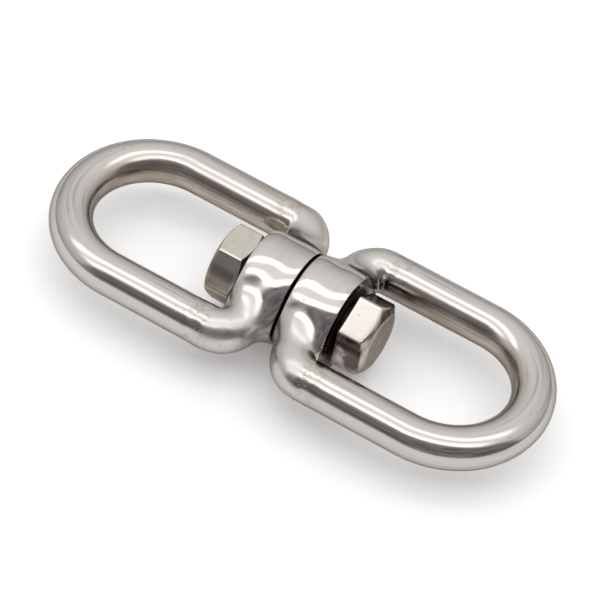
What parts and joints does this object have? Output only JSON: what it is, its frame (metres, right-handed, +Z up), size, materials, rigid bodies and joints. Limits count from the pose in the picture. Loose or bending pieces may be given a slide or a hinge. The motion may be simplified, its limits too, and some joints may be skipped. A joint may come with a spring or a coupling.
{
  "type": "anchor swivel",
  "caption": "Eye-and-eye boat anchor swivel of polished stainless steel: two welded bar eyes that turn freely on a locked hexagon bolt and nut.",
  "frame": {"origin": "on the swivel axis, midway between the two collars' facing sides, which is the middle of the whole swivel", "axes": "+X along the swivel axis towards the eye that holds the bolt head, +Y across the eyes in their common plane, +Z up, square to the eyes' plane"},
  "size_m": [0.0984, 0.0386, 0.019],
  "materials": {
    "bar_steel": "mirror-polished stainless bar with fine polishing lines and small nicks",
    "collar_steel": "hand-polished stainless casting with a slightly wavy surface and small pits",
    "weld_steel": "dressed and polished weld metal with pits and straw-brown heat tint",
    "bolt_steel": "cold-forged stainless, bright flats and satin end face",
    "nut_steel": "satin stainless, slightly yellowish"
  },
  "bodies": {
    "nut_side_eye": {"nut_side_collar": "collar_steel", "nut_side_bow": "bar_steel", "nut_side_left_weld": "weld_steel", "nut_side_right_weld": "weld_steel"},
    "bolt_set": {"hex_bolt": "bolt_steel", "hex_nut": "nut_steel", "nut_lock_weld": "weld_steel"},
    "head_side_eye": {"head_side_collar": "collar_steel", "head_side_bow": "bar_steel", "head_side_left_weld": "weld_steel", "head_side_right_weld": "weld_steel"}
  },
  "joints": [
    {"name": "bolt_in_nut_side_eye", "type": "hinge", "parent": "nut_side_eye", "child": "bolt_set", "pos_m": [0, 0, 0], "axis": [1, 0, 0], "continuous": true},
    {"name": "head_side_eye_on_bolt", "type": "hinge", "parent": "bolt_set", "child": "head_side_eye", "pos_m": [0, 0, 0], "axis": [1, 0, 0], "continuous": true}
  ]
}
